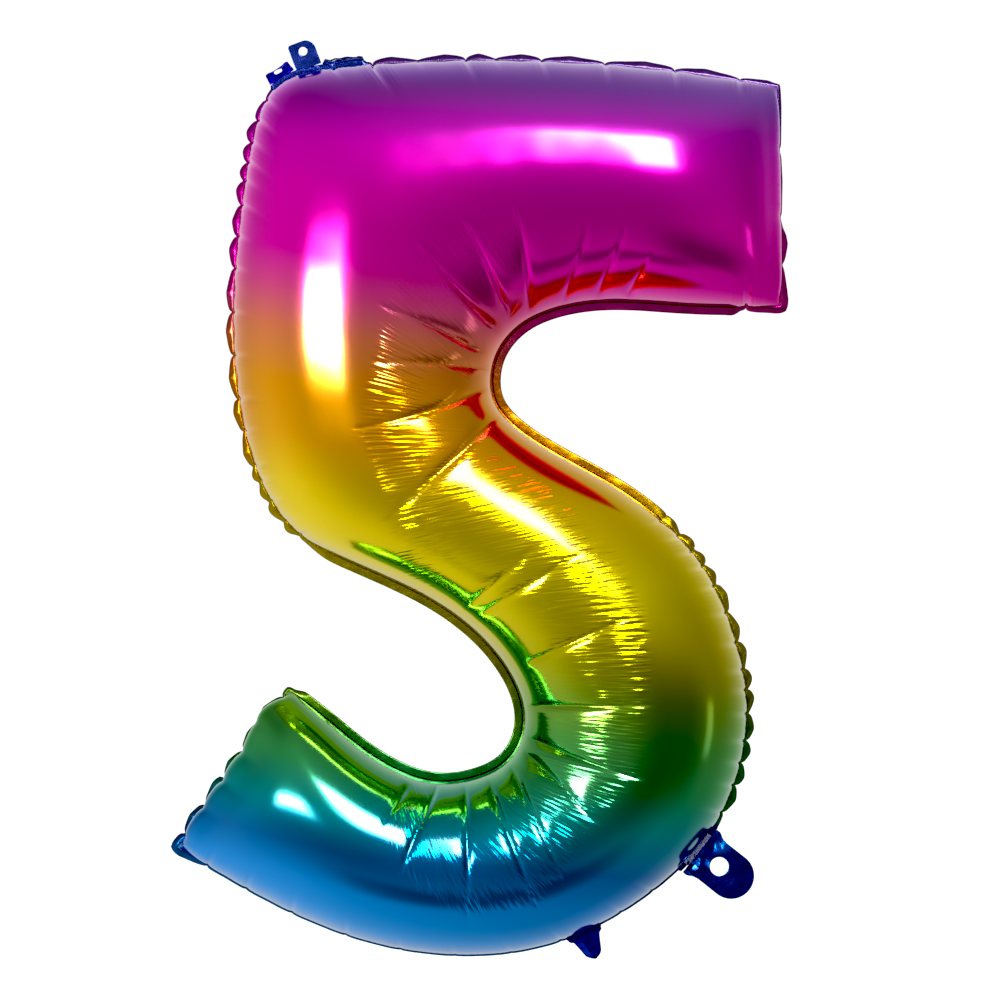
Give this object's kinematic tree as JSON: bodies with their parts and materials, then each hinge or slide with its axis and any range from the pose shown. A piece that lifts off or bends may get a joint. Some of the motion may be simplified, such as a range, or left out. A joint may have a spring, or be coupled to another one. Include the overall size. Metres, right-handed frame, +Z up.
{
  "type": "foil number balloon",
  "caption": "Inflated foil balloon shaped as a digit, with a seam band, folding hang tabs and a fill tail with a self-closing film valve.",
  "frame": {"origin": "centre of the hole in the standing hang tab, in the seam plane", "axes": "+Z up the digit, -Y out of the digit's face, +X towards the free end of the digit's bar"},
  "size_m": [0.592, 0.187, 0.8806],
  "materials": {
    "foil": "metallised film, satin mirror, printed rainbow gradient from violet at the top to blue at the foot",
    "band": "metallised film, sealed flat and crinkled, same gradient",
    "tail": "metallised film, dark blue, creased",
    "tab": "metallised film, blue violet, creased",
    "valve": "clear polyethylene film"
  },
  "bodies": {
    "envelope": {"front_foil_panel": "foil", "back_foil_panel": "foil", "front_seam_band": "band", "back_seam_band": "band", "front_valve_film": "valve", "back_valve_film": "valve"},
    "fill_tail": {"front_tail_ply": "tail", "back_tail_ply": "tail"},
    "standing_tab": {"front_standing_tab_ply": "tab", "back_standing_tab_ply": "tab"},
    "left_tab": {"front_left_tab_ply": "tab", "back_left_tab_ply": "tab"},
    "right_tab": {"front_right_tab_ply": "tab", "back_right_tab_ply": "tab"},
    "bottom_tab": {"front_bottom_tab_ply": "tab", "back_bottom_tab_ply": "tab"}
  },
  "joints": [
    {"name": "fill_tail_fold", "type": "hinge", "parent": "envelope", "child": "fill_tail", "pos_m": [0.37986, 0, -0.76465], "axis": [-0.6221, 0, -0.783], "range_deg": [-90, 90], "stiffness_Nm_per_rad": 0.003},
    {"name": "standing_tab_fold", "type": "hinge", "parent": "envelope", "child": "standing_tab", "pos_m": [0.00545, 0, -0.01451], "axis": [0.9363, 0, 0.3513], "range_deg": [-90, 90], "stiffness_Nm_per_rad": 0.003},
    {"name": "left_tab_fold", "type": "hinge", "parent": "envelope", "child": "left_tab", "pos_m": [-0.02037, 0, -0.02422], "axis": [0.8422, 0, 0.5391], "range_deg": [-24, 156], "stiffness_Nm_per_rad": 0.003},
    {"name": "right_tab_fold", "type": "hinge", "parent": "envelope", "child": "right_tab", "pos_m": [0.03856, 0, -0.01035], "axis": [0.9961, 0, 0.0884], "range_deg": [-14, 166], "stiffness_Nm_per_rad": 0.003},
    {"name": "bottom_tab_fold", "type": "hinge", "parent": "envelope", "child": "bottom_tab", "pos_m": [0.26987, 0, -0.84467], "axis": [-0.9147, 0, -0.4041], "range_deg": [-70, 110], "stiffness_Nm_per_rad": 0.003}
  ]
}
